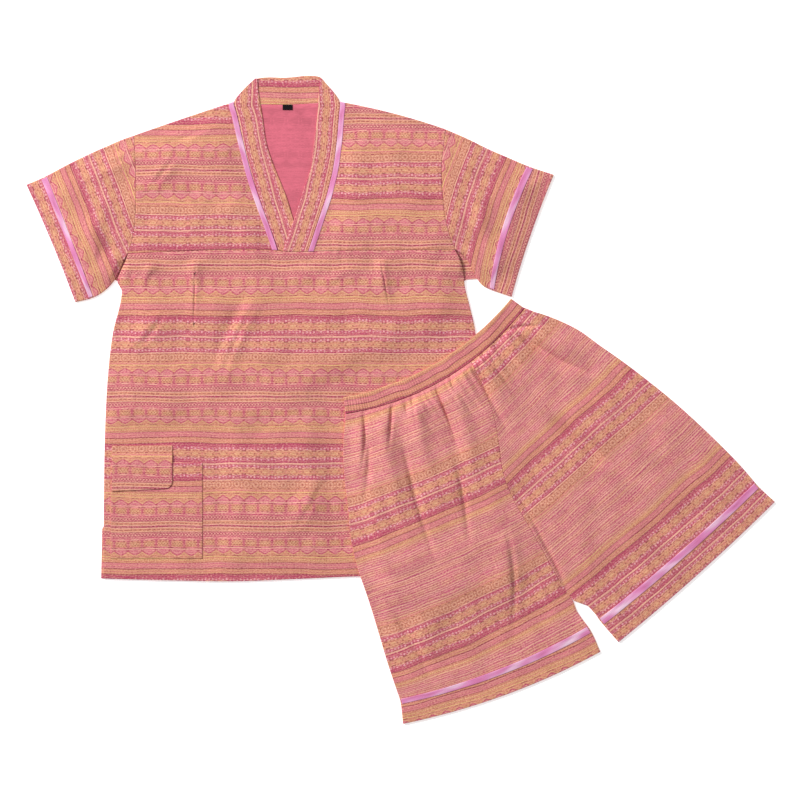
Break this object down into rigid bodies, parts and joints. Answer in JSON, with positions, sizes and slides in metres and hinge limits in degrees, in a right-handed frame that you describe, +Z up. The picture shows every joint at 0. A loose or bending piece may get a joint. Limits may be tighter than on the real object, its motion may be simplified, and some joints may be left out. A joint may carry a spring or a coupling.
{
  "type": "sauna clothing set laid flat",
  "caption": "Short-sleeved wrap-neck top with yokes and a patch pocket, and gathered shorts with an elastic waist, laid flat together.",
  "frame": {"origin": "middle of the set's box on the surface that it lies on", "axes": "+Z up from the surface, +Y from the top's hem towards its neck, +X towards the shorts"},
  "size_m": [1.1238, 0.972, 0.0133],
  "materials": {
    "jacquard": "matt woven cotton with gold and rose pattern rows",
    "satin_ribbon": "satin",
    "label_tape": "matt woven tape, bare"
  },
  "bodies": {
    "root": {"top_back": "jacquard", "yoke_left": "jacquard", "yoke_right": "jacquard", "front_lower": "jacquard", "sleeve_left": "jacquard", "sleeve_right": "jacquard", "cuff_band_left": "jacquard", "cuff_band_right": "jacquard", "collar_left": "jacquard", "collar_right": "jacquard", "collar_back": "jacquard", "collar_ribbon_left": "satin_ribbon", "collar_ribbon_right": "satin_ribbon", "sleeve_ribbon_left": "satin_ribbon", "sleeve_ribbon_right": "satin_ribbon", "pocket": "jacquard", "pocket_flap": "jacquard", "neck_label": "label_tape", "waistband": "jacquard", "leg_front_left": "jacquard", "leg_front_right": "jacquard", "leg_back_left": "jacquard", "leg_back_right": "jacquard", "hem_band_left": "jacquard", "hem_band_right": "jacquard", "hem_ribbon_left": "satin_ribbon", "hem_ribbon_right": "satin_ribbon"}
  },
  "joints": []
}
